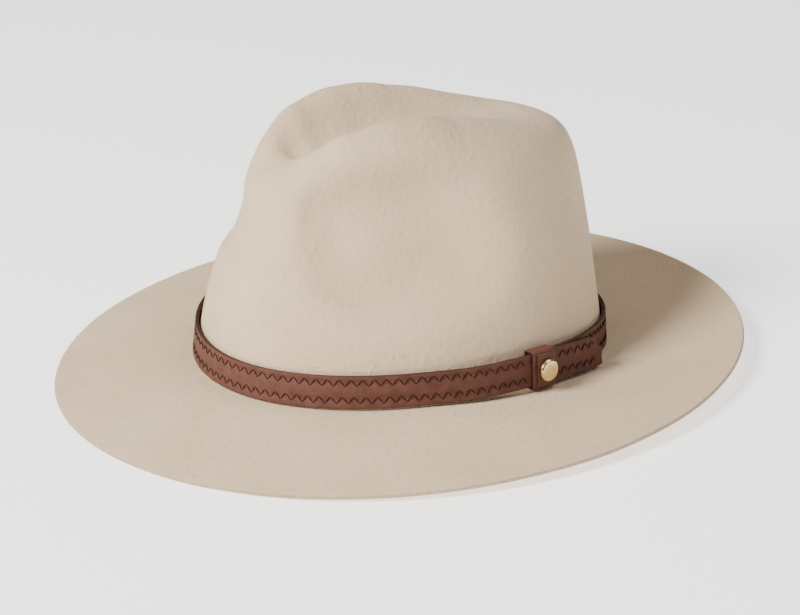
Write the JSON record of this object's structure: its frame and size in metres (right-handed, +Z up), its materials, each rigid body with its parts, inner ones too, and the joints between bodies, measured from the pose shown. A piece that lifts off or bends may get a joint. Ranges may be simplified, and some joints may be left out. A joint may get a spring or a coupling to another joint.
{
  "type": "safari hat",
  "caption": "Pale felt hat with a pinched, centre-creased crown, a wide gently curved brim and a stitched leather band closed by a keeper and a round brass stud.",
  "frame": {"origin": "middle of the bounding box, on the surface that the hat lies on", "axes": "+Z up, the front of the hat toward -Y, the wearer's left and the stud toward +X"},
  "size_m": [0.307, 0.3408, 0.1329],
  "materials": {
    "felt": "pale stone-coloured felt with a short soft nap",
    "band_leather": "mid-brown smooth leather with a dull sheen and dark brown zigzag thread",
    "keeper_leather": "mid-brown smooth leather, slightly redder than the band",
    "stud_brass": "pale polished brass"
  },
  "bodies": {
    "root": {"felt_body": "felt", "hat_band": "band_leather", "band_keeper": "keeper_leather", "stud": "stud_brass"}
  },
  "joints": []
}
